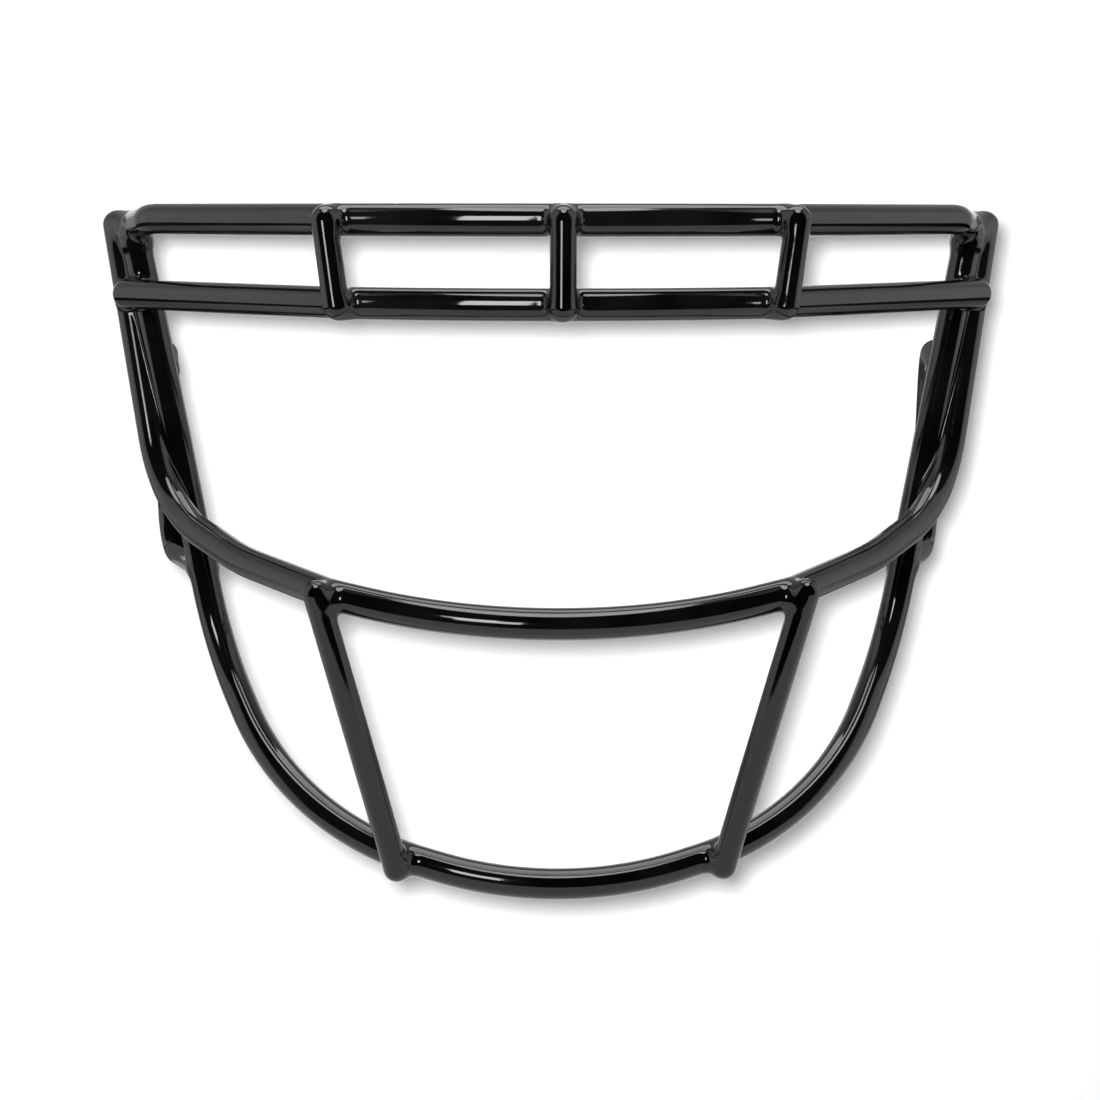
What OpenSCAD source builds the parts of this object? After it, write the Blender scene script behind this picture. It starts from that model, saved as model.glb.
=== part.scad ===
// Welded wire face guard for a sport helmet, dipped in a glossy polymer coat.
// The front faces -Y, +X is right as seen from the front and +Z is up.
// The origin is on the upper brow bar's axis, in the middle.
// Left and right in the names are as seen from the front.

/* [Wire] */
// Diameter of the steel in the long bars
bar_steel_d = 5.7; // [5.6:0.05:5.75]
// Diameter of the steel in the ties and the chin bars
tie_steel_d = 4.4; // [4.3:0.05:4.45]
// Thickness of the polymer coat
coat_t = 0.9; // [0.85:0.05:0.95]
// Radius of a weld's flash where two bars cross
weld_r = 2.6; // [2.5:0.05:2.7]
// Radius of the weld beads in the groove between two uprights
groove_weld_r = 1.1; // [1:0.05:1.2]
// Radius of a weld's flash where a bar's end is welded on
butt_weld_r = 3.4; // [3.3:0.05:3.5]

/* [Brow bars] */
// Height between the axes of the two brow bars
brow_gap = 19.2; // [18.8:0.1:19.6]
// Slope of the brow bars down to the rear, in degrees
brow_rake = 5.5; // [5.25:0.25:5.75]
// Bend radius of the bow in the middle
brow_mid_r = 130; // [126:1:132]
// Plan angle of the brow bars between the middle and the inner ties
brow_inner_slope = 20; // [19.75:0.25:20.25]
// Plan angle of the brow bars outside the inner ties
brow_outer_slope = 41; // [40.75:0.25:41.25]
// Half width between the kinks of the upper brow bar
upper_kink_x = 52.8; // [52.5:0.1:53.1]
// Half width between the kinks of the lower brow bar
lower_kink_x = 50.8; // [50.5:0.1:51.1]
// Half width to the corners of the upper brow bar
upper_corner_x = 101.5; // [101.25:0.25:101.75]
// Half width to the steel ends of the lower brow bar
lower_end_x = 111.3; // [111:0.1:111.6]

/* [Mouth bar and outer uprights] */
// Half width between the kinks at the chin bars
mouth_kink_x = 54.5; // [54.25:0.25:54.75]
// Height of the mouth bar's kinks
mouth_kink_z = -87; // [-87.25:0.25:-86.75]
// Bend radius of the bow in the middle
mouth_mid_r = 115; // [113:1:117]
// Bend radius where the mouth bar turns up into an outer upright
mouth_corner_r = 32; // [31.5:0.25:32.5]

/* [Jaw bar and inner uprights] */
// Half width to the bend under the cheek
jaw_cheek_x = 66.2; // [66:0.1:66.4]
// Height of that bend's corner
jaw_cheek_z = -150.3; // [-150.5:0.1:-150.1]
// Bend radius in the middle of the jaw bar
jaw_mid_r = 79; // [78:0.5:80]
// Bend radius under the cheek
jaw_cheek_r = 82; // [81:0.5:83]
// Bend radius where the jaw bar turns up into an inner upright
jaw_corner_r = 46; // [45:0.5:47]

/* [Side loops] */
// Half width between the rear legs of the side loops
loop_x = 107; // [106.75:0.25:107.25]
// Distance of the rear legs behind the upper brow bar
loop_y = 98; // [97:0.5:99]
// Height of a side loop's top run
loop_top_z = -45.5; // [-45.75:0.25:-45.25]
// Height of a side loop's lower rear corner
loop_low_z = -102.2; // [-102.6:0.2:-101.8]
// Bend radius of the side loops
loop_r = 9; // [8.5:0.25:9.5]

/* [Hidden] */
$fn = 48;
bend_fn = 360;
// A short collar, this much wider than the wire, closes each seam between a straight run and a bend
seam = 0.1;
collar_l = 1.2;
seam_gap = 0.2;
kink_r = 10;
// How far the centre of a coat's round end lies inside the steel's flat end
end_back = 2;

// Routes: each right half runs from the middle outwards, by the corners before bending

// Depth of a brow bar's kink, from the bow's apex along the inner slope
brow_apex_y = -brow_mid_r * (1 / cos(brow_inner_slope) - 1);
function kink_y(x) = brow_apex_y + x * tan(brow_inner_slope);
function brow_y(kink_x, x) = kink_y(kink_x) + (x - kink_x) * tan(brow_outer_slope);
function raked(x, y, z0) = [x, y, z0 - y * tan(brow_rake)];

upper_half = [
    raked(0, brow_apex_y, 0),
    raked(upper_kink_x, kink_y(upper_kink_x), 0),
    raked(upper_corner_x, brow_y(upper_kink_x, upper_corner_x), 0),
    [109.3, 71.4, -8.9]
];
upper_half_r = [brow_mid_r, kink_r, 12, 0];

lower_half = [
    raked(0, brow_apex_y, -brow_gap),
    raked(lower_kink_x, kink_y(lower_kink_x), -brow_gap),
    raked(lower_end_x, brow_y(lower_kink_x, lower_end_x), -brow_gap)
];
lower_half_r = [brow_mid_r, kink_r, 0];

// The mouth bar ends in the outer uprights
mouth_half = [
    [0, -26, -93.5],
    [mouth_kink_x, -3, mouth_kink_z],
    [78.5, 24.3, -86],
    [101.3, 52.2, -79.4],
    [114.2, 75.4, -7]
];
mouth_half_r = [mouth_mid_r, 12, 80, mouth_corner_r, 0];

// The jaw bar ends in the inner uprights
jaw_half = [
    [0, -14, -161.2],
    [jaw_cheek_x, 10.2, jaw_cheek_z],
    [88.2, 48.1, -115.5],
    [108, 67.9, -12]
];
jaw_half_r = [jaw_mid_r, jaw_cheek_r, jaw_corner_r, 0];

// The ties and the chin bars stand just in front of the bars that they join
centre_tie_run = [[0, -5.1, 2.5], [0, -5.1, -brow_gap - 1.6]];
right_tie_run = [
    [upper_kink_x + 1.7, kink_y(upper_kink_x) - 4.75, 1.4],
    [lower_kink_x + 1, kink_y(lower_kink_x) - 5, -brow_gap - 2.7]
];
right_chin_run = [[mouth_kink_x + 3.3, -7.4, mouth_kink_z + 3.4], [39.4, -4.6, jaw_cheek_z - 7.7]];
right_loop_run = [
    [102.2, 65.2, loop_top_z],
    [loop_x, loop_y, loop_top_z],
    [loop_x, loop_y, loop_low_z],
    [92.8, 55.2, -95.6]
];
loop_radii = [0, loop_r, loop_r, 0];

// Points of contact, where the welds are
centre_tie_spots = [[0, -2.6, 0], [0, -2.6, -brow_gap]];
right_tie_spots = [
    [upper_kink_x + 0.5, kink_y(upper_kink_x) - 2.8, -1.1],
    [lower_kink_x + 0.3, kink_y(lower_kink_x) - 2.9, -brow_gap - 1]
];
right_end_spots = [[107.4, 63.2, -25.1], [110.6, 66.2, -26.4]];
right_end_butts = [[108, 68.1, -11.6], [110.8, 72.4, -9.3]];
right_chin_spots = [[mouth_kink_x + 0.8, -5.3, mouth_kink_z - 0.5], [38.9, -2.5, jaw_cheek_z - 5]];
right_loop_butts = [[102.1, 64.6, loop_top_z], [92.6, 54.6, -95.5]];

function left(p) = [-p[0], p[1], p[2]];
function left_run(ps) = [for (p = ps) left(p)];
function backwards(v) = [for (i = [len(v) - 1 : -1 : 0]) v[i]];
function tail(v) = [for (i = [1 : len(v) - 1]) v[i]];
function whole(half) = concat(left_run(backwards(half)), tail(half));
function whole_r(r) = concat(backwards(r), tail(r));

function unit(v) = v / norm(v);
function headings(p) = [for (i = [0 : len(p) - 2]) unit(p[i + 1] - p[i])];
function turn(h, i) = acos(max(-1, min(1, h[i - 1] * h[i])));
function setback(p, r, i) = (i == 0 || i == len(p) - 1) ? 0 : r[i] * tan(turn(headings(p), i) / 2);
function axes_at(o, x, y, z) = [
    [x[0], y[0], z[0], o[0]],
    [x[1], y[1], z[1], o[1]],
    [x[2], y[2], z[2], o[2]],
    [0, 0, 0, 1]
];

// A round rod of the length l from the point p along the unit vector h
module rod(p, h, d, l) {
    side = unit(cross(h, abs(h[2]) < 0.9 ? [0, 0, 1] : [1, 0, 0]));
    multmatrix(axes_at(p, side, cross(h, side), h)) cylinder(d = d, h = l);
}

// A round wire through the corners p, bent to the radii r, with flat ends
module wire(p, r, d) {
    h = headings(p);
    last = len(p) - 1;
    for (i = [0 : last - 1]) {
        a = setback(p, r, i) + (i == 0 ? 0 : seam_gap);
        b = setback(p, r, i + 1) + (i + 1 == last ? 0 : seam_gap);
        rod(p[i] + h[i] * a, h[i], d, norm(p[i + 1] - p[i]) - a - b);
    }
    if (last > 1) for (i = [1 : last - 1]) {
        angle = turn(h, i);
        from = p[i] - h[i - 1] * setback(p, r, i);
        to = p[i] + h[i] * setback(p, r, i);
        centre = p[i] + unit(h[i] - h[i - 1]) * r[i] / cos(angle / 2);
        out = unit(from - centre);
        up = unit(cross(h[i - 1], h[i]));
        multmatrix(axes_at(centre, out, cross(up, out), up))
            rotate_extrude(angle = angle, $fn = bend_fn) translate([r[i], 0]) circle(d = d, $fn = 48);
        rod(from - h[i - 1] * collar_l / 2, h[i - 1], d + seam, collar_l);
        rod(to - h[i] * collar_l / 2, h[i], d + seam, collar_l);
    }
}

// A ball whose poles are turned away from the bars' own directions
module ball(p, d) translate(p) rotate([35, 25, 15]) sphere(d = d);

// The same wire's outer shape once it is coated, with round ends
module coated(p, r, d) {
    last = len(p) - 1;
    full_d = d + 2 * coat_t;
    first_p = p[0] + end_back * unit(p[1] - p[0]);
    last_p = p[last] + end_back * unit(p[last - 1] - p[last]);
    wire([for (i = [0 : last]) i == 0 ? first_p : i == last ? last_p : p[i]], r, full_d);
    ball(first_p, full_d + seam);
    ball(last_p, full_d + seam);
}

// One side of a long bar, from just before its first bend outside the middle to its end
function side_run(half, r) = concat(
    [half[1] + unit(half[0] - half[1]) * (setback(half, r, 1) + 2)],
    tail(half)
);
module bar_side(half, r, d) wire(side_run(half, r), r, d);

module upper_steel() wire(whole(upper_half), whole_r(upper_half_r), bar_steel_d);
module lower_steel() wire(whole(lower_half), whole_r(lower_half_r), bar_steel_d);
module mouth_steel() wire(whole(mouth_half), whole_r(mouth_half_r), bar_steel_d);
module jaw_steel() wire(whole(jaw_half), whole_r(jaw_half_r), bar_steel_d);
module straight_steel(run) wire(run, [0, 0], tie_steel_d);
module loop_steel(run) wire(run, loop_radii, bar_steel_d);

module upper_outer() coated(whole(upper_half), whole_r(upper_half_r), bar_steel_d);
module lower_outer() coated(whole(lower_half), whole_r(lower_half_r), bar_steel_d);
module mouth_outer() coated(whole(mouth_half), whole_r(mouth_half_r), bar_steel_d);
module jaw_outer() coated(whole(jaw_half), whole_r(jaw_half_r), bar_steel_d);
module straight_outer(run) coated(run, [0, 0], tie_steel_d);
module loop_outer(run) coated(run, loop_radii, bar_steel_d);

// The parts of the neighbours that a joint's cut needs, each on both sides
module both_sides() {
    children();
    mirror([1, 0, 0]) children();
}
module tie_steels() {
    straight_steel(centre_tie_run);
    both_sides() straight_steel(right_tie_run);
}
module chin_steels() both_sides() straight_steel(right_chin_run);
module mouth_legs() both_sides() wire([mouth_half[3], mouth_half[4]], [0, 0], bar_steel_d);
module jaw_legs() both_sides() wire([jaw_half[2], jaw_half[3]], [0, 0], bar_steel_d);

// Where a side's two uprights run side by side, their coats meet on flats square to this direction
mouth_up = unit(mouth_half[4] - mouth_half[3]);
jaw_up = unit(jaw_half[3] - jaw_half[2]);
apart = unit(cross(mouth_up, jaw_up));
flat_at = 2.75;
flats_foot = mouth_half[3] + mouth_up * (setback(mouth_half, mouth_half_r, 3) + 0.3);
function jaw_leg_at(z) = jaw_half[3] + jaw_up * (z - jaw_half[3][2]) / jaw_up[2];
function mouth_leg_at(z) = mouth_half[4] + mouth_up * (z - mouth_half[4][2]) / mouth_up[2];
module slab(p, h, near) multmatrix(axes_at(p, apart, cross(h, apart), h))
    translate([near, -4.5, 0]) cube([3, 9, 66]);
module mouth_flats() both_sides() slab(flats_foot, mouth_up, -flat_at - 3);
module jaw_flats() both_sides() slab(jaw_leg_at(flats_foot[2]), jaw_up, flat_at);

// Below the flats each takes the other's shape
module jaw_leg_feet() both_sides() wire([jaw_leg_at(-98), jaw_leg_at(flats_foot[2] + 1.5)], [0, 0], bar_steel_d);
module mouth_bends() both_sides() wire(
    [mouth_half[3] + unit(mouth_half[2] - mouth_half[3]) * 24, mouth_half[3], flats_foot + mouth_up],
    [0, mouth_corner_r, 0],
    bar_steel_d + 2 * coat_t
);
module mouth_sides() both_sides() bar_side(mouth_half, mouth_half_r, bar_steel_d);
module jaw_sides() both_sides() bar_side(jaw_half, jaw_half_r, bar_steel_d);
module loop_ends() both_sides() {
    wire([right_loop_run[0], right_loop_run[1]], [0, 0], bar_steel_d);
    wire([right_loop_run[2], right_loop_run[3]], [0, 0], bar_steel_d);
}

module beads(spots, r) {
    for (s = spots) ball(s, 2 * r);
}
module tie_beads() {
    beads(centre_tie_spots, weld_r);
    both_sides() beads(right_tie_spots, weld_r);
}
module end_beads() both_sides() {
    beads(right_end_spots, weld_r);
    beads(right_end_butts, butt_weld_r);
}
module upright_beads() both_sides() {
    across = unit(cross(apart, mouth_up + jaw_up));
    for (z = [-50, -55, -60], way = [-1, 1])
        ball((mouth_leg_at(z) + jaw_leg_at(z)) / 2 + across * 1.3 * way, 2 * groove_weld_r);
}
module chin_beads() both_sides() beads(right_chin_spots, weld_r);
module loop_beads() both_sides() beads(right_loop_butts, butt_weld_r);

// Coats: each is hollow for its own core, and open where another bar's steel is welded on

module upper_brow_bar_coat() color("dimgray") difference() {
    upper_outer();
    upper_steel();
    tie_steels();
    mouth_legs();
    jaw_legs();
    tie_beads();
    end_beads();
}
module lower_brow_bar_coat() color("dimgray") difference() {
    lower_outer();
    lower_steel();
    tie_steels();
    mouth_legs();
    jaw_legs();
    tie_beads();
    end_beads();
}
module tie_coat(run) color("slategray") difference() {
    straight_outer(run);
    straight_steel(run);
    upper_outer();
    lower_outer();
    tie_beads();
}
module mouth_bar_coat() color("dimgray") difference() {
    mouth_outer();
    mouth_steel();
    upper_outer();
    lower_outer();
    mouth_flats();
    jaw_leg_feet();
    chin_steels();
    loop_ends();
    end_beads();
    upright_beads();
    chin_beads();
    loop_beads();
}
module jaw_bar_coat() color("slategray") difference() {
    jaw_outer();
    jaw_steel();
    upper_outer();
    lower_outer();
    jaw_flats();
    mouth_bends();
    chin_steels();
    loop_ends();
    end_beads();
    upright_beads();
    chin_beads();
    loop_beads();
}
module chin_coat(run) color("gray") difference() {
    straight_outer(run);
    straight_steel(run);
    mouth_outer();
    jaw_outer();
    chin_beads();
}
module side_coat(run) color("gray") difference() {
    loop_outer(run);
    loop_steel(run);
    mouth_outer();
    jaw_outer();
    loop_beads();
}

// Welds: each is the flash left round a contact once the steel bars are taken away

module tie_welds() color("orange") difference() {
    $fn = 128;
    tie_beads();
    upper_steel();
    lower_steel();
    tie_steels();
}
module brow_end_welds() color("orange") difference() {
    $fn = 128;
    end_beads();
    upper_steel();
    lower_steel();
    mouth_legs();
    jaw_legs();
}
module upright_welds() color("orange") difference() {
    $fn = 128;
    upright_beads();
    mouth_legs();
    jaw_legs();
}
module chin_bar_welds() color("orange") difference() {
    $fn = 128;
    chin_beads();
    mouth_sides();
    jaw_sides();
    chin_steels();
}
module side_loop_welds() color("orange") difference() {
    $fn = 128;
    loop_beads();
    mouth_sides();
    jaw_sides();
    loop_ends();
}

color("silver") upper_steel();  // upper_brow_bar_core
upper_brow_bar_coat();
color("silver") lower_steel();  // lower_brow_bar_core
lower_brow_bar_coat();
color("silver") straight_steel(centre_tie_run);  // centre_tie_core
tie_coat(centre_tie_run);  // centre_tie_coat
color("silver") straight_steel(left_run(right_tie_run));  // left_tie_core
tie_coat(left_run(right_tie_run));  // left_tie_coat
color("silver") straight_steel(right_tie_run);  // right_tie_core
tie_coat(right_tie_run);  // right_tie_coat
color("silver") mouth_steel();  // mouth_bar_core
mouth_bar_coat();
color("silver") jaw_steel();  // jaw_bar_core
jaw_bar_coat();
color("silver") straight_steel(left_run(right_chin_run));  // left_chin_bar_core
chin_coat(left_run(right_chin_run));  // left_chin_bar_coat
color("silver") straight_steel(right_chin_run);  // right_chin_bar_core
chin_coat(right_chin_run);  // right_chin_bar_coat
color("silver") loop_steel(left_run(right_loop_run));  // left_side_loop_core
side_coat(left_run(right_loop_run));  // left_side_loop_coat
color("silver") loop_steel(right_loop_run);  // right_side_loop_core
side_coat(right_loop_run);  // right_side_loop_coat
tie_welds();
brow_end_welds();
upright_welds();
chin_bar_welds();
side_loop_welds();
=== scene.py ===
import logging
import math
from dataclasses import dataclass, field
from enum import Enum
from typing import Iterable, Sequence, Union

import bmesh
import bpy
import numpy as np
from mathutils import Matrix, Vector


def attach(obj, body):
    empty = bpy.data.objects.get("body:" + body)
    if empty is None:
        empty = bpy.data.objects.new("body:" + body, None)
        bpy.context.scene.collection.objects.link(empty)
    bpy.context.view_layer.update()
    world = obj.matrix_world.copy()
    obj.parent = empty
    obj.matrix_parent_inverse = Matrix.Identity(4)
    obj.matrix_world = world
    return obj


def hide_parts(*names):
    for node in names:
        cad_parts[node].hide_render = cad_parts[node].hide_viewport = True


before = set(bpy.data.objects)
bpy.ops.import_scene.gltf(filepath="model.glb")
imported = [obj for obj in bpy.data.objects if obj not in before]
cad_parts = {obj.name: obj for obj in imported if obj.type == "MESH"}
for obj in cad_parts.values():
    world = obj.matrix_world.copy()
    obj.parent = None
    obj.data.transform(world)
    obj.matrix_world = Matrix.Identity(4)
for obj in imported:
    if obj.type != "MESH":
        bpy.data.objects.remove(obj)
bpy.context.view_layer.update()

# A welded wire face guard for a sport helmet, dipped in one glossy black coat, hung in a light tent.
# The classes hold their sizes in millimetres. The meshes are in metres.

logging.basicConfig(level=logging.INFO, format="%(message)s")
log = logging.getLogger("face_guard")

MM = 0.001
TINY = 1e-6  # metres, below which two points are one
LEAST = 1e-9  # keeps a divisor off 0
STEEP = 0.9  # the share of Z in a direction that is almost upright
UNBENT = (0.0, 0.0)  # the bend radii of a straight wire
Point = tuple[float, float, float]
Span = tuple[float, float]
Colour = tuple[float, float, float, float]
Pair = tuple[np.ndarray, np.ndarray]
Triple = tuple[np.ndarray, np.ndarray, np.ndarray]
Number = Union[float, "Value"]
Key = Union[str, int]


class Side(Enum):
    """A side of the guard, as seen from the front."""

    LEFT = -1
    RIGHT = 1

    def place(self, point: Point) -> Point:
        """Puts a point of the right half on this side."""
        return (self.value * point[0], point[1], point[2])

    def name_of(self, part: str) -> str:
        """Names a part of this side."""
        return f"{self.name.lower()}_{part}"


def unit(v: np.ndarray) -> np.ndarray:
    """Scales a vector to the length 1."""
    return v / np.linalg.norm(v)


def ease(t: np.ndarray) -> np.ndarray:
    """Eases a ramp from 0 to 1 in and out."""
    t = np.clip(t, 0.0, 1.0)
    return t * t * (3.0 - 2.0 * t)


def grey(level: float) -> Colour:
    """Gives the grey of a brightness."""
    return (level, level, level, 1.0)


# Wire routes


@dataclass(frozen=True)
class Straight:
    """A straight run of a wire's centre line."""

    start: np.ndarray
    end: np.ndarray

    @property
    def length(self) -> float:
        """The run's length."""
        return float(np.linalg.norm(self.end - self.start))

    def nearest(self, points: np.ndarray) -> np.ndarray:
        """Finds the run's nearest point to each point.

        Args:
            points: The points.

        Returns:
            The nearest ones.
        """
        way = self.end - self.start
        share = np.clip((points - self.start) @ way / (way @ way), 0.0, 1.0)
        return self.start + share[:, None] * way

    def carry(self, along: np.ndarray, side: np.ndarray) -> Triple:
        """Gives the centre line and its cross directions at some lengths along the run.

        Args:
            along: Lengths from the run's start.
            side: The cross direction at the run's start.

        Returns:
            The centres, the headings and the cross directions.
        """
        ahead = unit(self.end - self.start)
        centres = self.start + along[:, None] * ahead
        return centres, np.broadcast_to(ahead, centres.shape), np.broadcast_to(side, centres.shape)


@dataclass(frozen=True)
class Bend:
    """A round bend of a wire's centre line."""

    centre: np.ndarray
    out: np.ndarray
    ahead: np.ndarray
    axis: np.ndarray
    radius: float
    angle: float

    @property
    def length(self) -> float:
        """The bend's length along the centre line."""
        return self.radius * self.angle

    def nearest(self, points: np.ndarray) -> np.ndarray:
        """Finds the bend's nearest point to each point.

        Args:
            points: The points.

        Returns:
            The nearest ones.
        """
        off = points - self.centre
        turned = np.arctan2(off @ self.ahead, off @ self.out)
        turned = np.where(turned < self.angle / 2 - math.pi, turned + 2 * math.pi, turned)
        turned = np.clip(turned, 0.0, self.angle)
        around = np.cos(turned)[:, None] * self.out + np.sin(turned)[:, None] * self.ahead
        return self.centre + self.radius * around

    def carry(self, along: np.ndarray, side: np.ndarray) -> Triple:
        """Gives the centre line and its cross directions at some lengths along the bend.

        Args:
            along: Lengths from the bend's start.
            side: The cross direction at the bend's start.

        Returns:
            The centres, the headings and the cross directions.
        """
        c, s = np.cos(along / self.radius)[:, None], np.sin(along / self.radius)[:, None]
        centres = self.centre + self.radius * (c * self.out + s * self.ahead)
        sides = side * c + np.cross(self.axis, side) * s + self.axis * (self.axis @ side) * (1.0 - c)
        return centres, c * self.ahead - s * self.out, sides


@dataclass
class Route:
    """A wire's centre line: the corners before bending, the bend radii, and a trim at both ends."""

    corners: Sequence[Point]
    radii: Sequence[float]
    trim: float = 0.0
    runs: list[Union[Straight, Bend]] = field(init=False)

    def __post_init__(self) -> None:
        """Works out the straight runs and the bends."""
        p = [np.array(c, float) * MM for c in self.corners]
        p[0] = p[0] + unit(p[1] - p[0]) * self.trim * MM
        p[-1] = p[-1] + unit(p[-2] - p[-1]) * self.trim * MM
        way = [unit(b - a) for a, b in zip(p, p[1:])]
        turn = [0.0] + [math.acos(float(np.clip(a @ b, -1, 1))) for a, b in zip(way, way[1:])] + [0.0]
        back = [r * MM * math.tan(t / 2) for r, t in zip(self.radii, turn)]
        self.runs = []
        for i, heading in enumerate(way):
            self.runs.append(Straight(p[i] + heading * back[i], p[i + 1] - heading * back[i + 1]))
            if i + 1 == len(way):
                break
            radius, angle = self.radii[i + 1] * MM, turn[i + 1]
            centre = p[i + 1] + unit(way[i + 1] - heading) * radius / math.cos(angle / 2)
            out = unit(p[i + 1] - heading * back[i + 1] - centre)
            axis = unit(np.cross(heading, way[i + 1]))
            self.runs.append(Bend(centre, out, np.cross(axis, out), axis, radius, angle))

    @property
    def length(self) -> float:
        """The centre line's length."""
        return sum(run.length for run in self.runs)

    def nearest(self, points: np.ndarray) -> np.ndarray:
        """Finds the centre line's nearest point to each point.

        Args:
            points: The points.

        Returns:
            The nearest ones.
        """
        best = np.full(len(points), np.inf)
        found = np.zeros_like(points)
        for run in self.runs:
            here = run.nearest(points)
            gap = np.linalg.norm(points - here, axis=1)
            closer = gap < best
            best[closer], found[closer] = gap[closer], here[closer]
        return found

    def bent(self, rod: np.ndarray) -> np.ndarray:
        """Bends a straight rod onto the route.

        Args:
            rod: Points of a rod that stands along Z with its start at 0.

        Returns:
            The same points round the route's centre line.
        """
        first = unit(self.runs[0].end - self.runs[0].start)
        side = unit(np.cross(first, (0.0, 0.0, 1.0) if abs(first[2]) < STEEP else (0.0, 1.0, 0.0)))
        placed, start = np.empty_like(rod), 0.0
        for number, run in enumerate(self.runs):
            here = np.ones(len(rod), bool)
            if number:
                here &= rod[:, 2] >= start
            if number + 1 < len(self.runs):
                here &= rod[:, 2] < start + run.length
            centres, ahead, sides = run.carry(rod[here, 2] - start, side)
            placed[here] = centres + rod[here, :1] * sides + rod[here, 1:2] * np.cross(ahead, sides)
            side = run.carry(np.array([run.length]), side)[2][0]
            start += run.length
        return placed


def whole(half: Sequence[Point], radii: Sequence[float]) -> tuple[list[Point], list[float]]:
    """Mirrors a right half, which starts in the middle, into a whole bar.

    Args:
        half: The right half's corners, from the middle outwards.
        radii: The bend radius at each of them.

    Returns:
        The whole bar's corners and radii, from left to right.
    """
    left = [Side.LEFT.place(p) for p in half[:0:-1]]
    return left + list(half), list(radii[:0:-1]) + list(radii)


# The coat


@dataclass
class CoatedBar:
    """One coated wire: where its steel runs, and how thick it is once it is dipped."""

    name: str
    corners: Sequence[Point]
    radii: Sequence[float]
    steel_d: float
    coat_t: float = 0.9
    end_back: float = 2.0
    route: Route = field(init=False)

    def __post_init__(self) -> None:
        """Lays the centre line, which stops inside each round end."""
        self.route = Route(self.corners, self.radii, self.end_back)

    @property
    def node(self) -> str:
        """The CAD node that the bar's skin stands for."""
        return self.name + "_coat"

    @property
    def radius(self) -> float:
        """The coat's outer radius, in metres."""
        return (self.steel_d / 2 + self.coat_t) * MM

    def gap(self, points: np.ndarray) -> Pair:
        """Measures how far points are outside the coat, and the direction away from it.

        Args:
            points: The points.

        Returns:
            The gaps, below 0 inside, and the directions.
        """
        off = points - self.route.nearest(points)
        reach = np.maximum(np.linalg.norm(off, axis=1), LEAST)
        return reach - self.radius, off / reach[:, None]


@dataclass(frozen=True)
class CoatedBead:
    """A weld bead under the coat, which shows as a soft lump."""

    at: Point
    bead_r: float
    coat_t: float = 0.9

    def gap(self, points: np.ndarray) -> Pair:
        """Measures how far points are outside the lump, and the direction away from it.

        Args:
            points: The points.

        Returns:
            The gaps, below 0 inside, and the directions.
        """
        off = points - np.array(self.at) * MM
        reach = np.maximum(np.linalg.norm(off, axis=1), LEAST)
        return reach - (self.bead_r + self.coat_t) * MM, off / reach[:, None]


Near = tuple[Union[CoatedBar, CoatedBead], np.ndarray]


@dataclass(frozen=True)
class Detail:
    """How finely a skin is cut: faces round the bar, and the rings' spacing in millimetres and degrees."""

    around: int = 64
    cap_rings: int = 10
    fine: float = 0.55
    coarse: float = 2.6
    turn: float = 3.0


FULL = Detail()


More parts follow.
